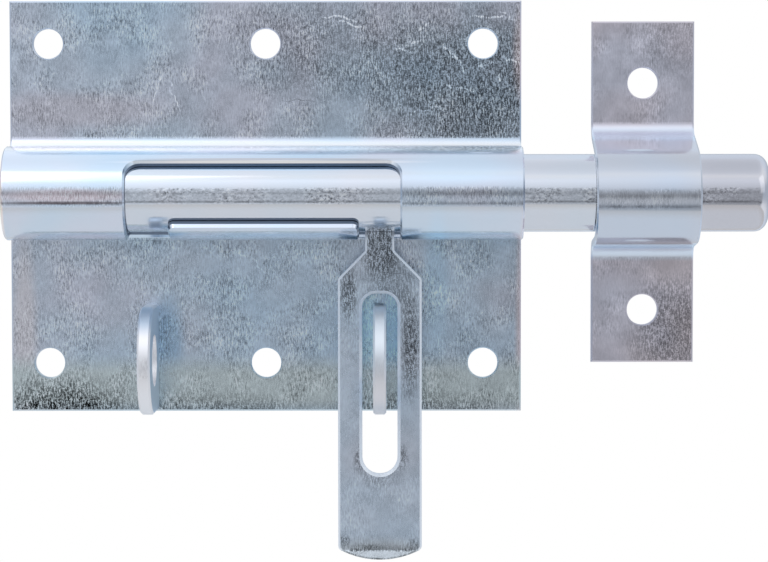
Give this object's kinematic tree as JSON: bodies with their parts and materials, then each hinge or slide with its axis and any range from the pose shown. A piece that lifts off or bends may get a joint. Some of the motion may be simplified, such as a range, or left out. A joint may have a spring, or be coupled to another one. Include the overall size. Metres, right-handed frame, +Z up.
{
  "type": "padbolt",
  "caption": "Padlockable slide bolt: folded plate with a windowed barrel, round bolt with a slotted hanging handle, two padlock staples and a keeper strap.",
  "frame": {"origin": "middle of the base plate's screw holes, on its back face, which lies on the door", "axes": "+X along the bolt towards the keeper, +Z up, -Y out from the door towards the viewer"},
  "size_m": [0.1766, 0.0264, 0.1303],
  "materials": {
    "plate": "blue-passivated zinc plate on rolled sheet, fine scratches",
    "bolt": "blue-passivated zinc plate on drawn round bar",
    "handle": "blue-passivated zinc plate on a stamped blank, rough towards the neck",
    "staple": "blue-passivated zinc plate on a stamped lug",
    "keeper": "blue-passivated zinc plate on a bent strap"
  },
  "bodies": {
    "plate": {"base_plate": "plate", "left_staple": "staple", "right_staple": "staple", "keeper_strap": "keeper"},
    "bolt": {"bolt_rod": "bolt"},
    "handle": {"hasp_handle": "handle"}
  },
  "joints": [
    {"name": "bolt_slide", "type": "slide", "parent": "plate", "child": "bolt", "axis": [1, 0, 0], "range_m": [-0.001, 0.001]},
    {"name": "handle_lift", "type": "hinge", "parent": "bolt", "child": "handle", "pos_m": [0.0268, -0.00925, 0.0026], "axis": [-1, 0, 0], "range_deg": [-5, 115]}
  ]
}
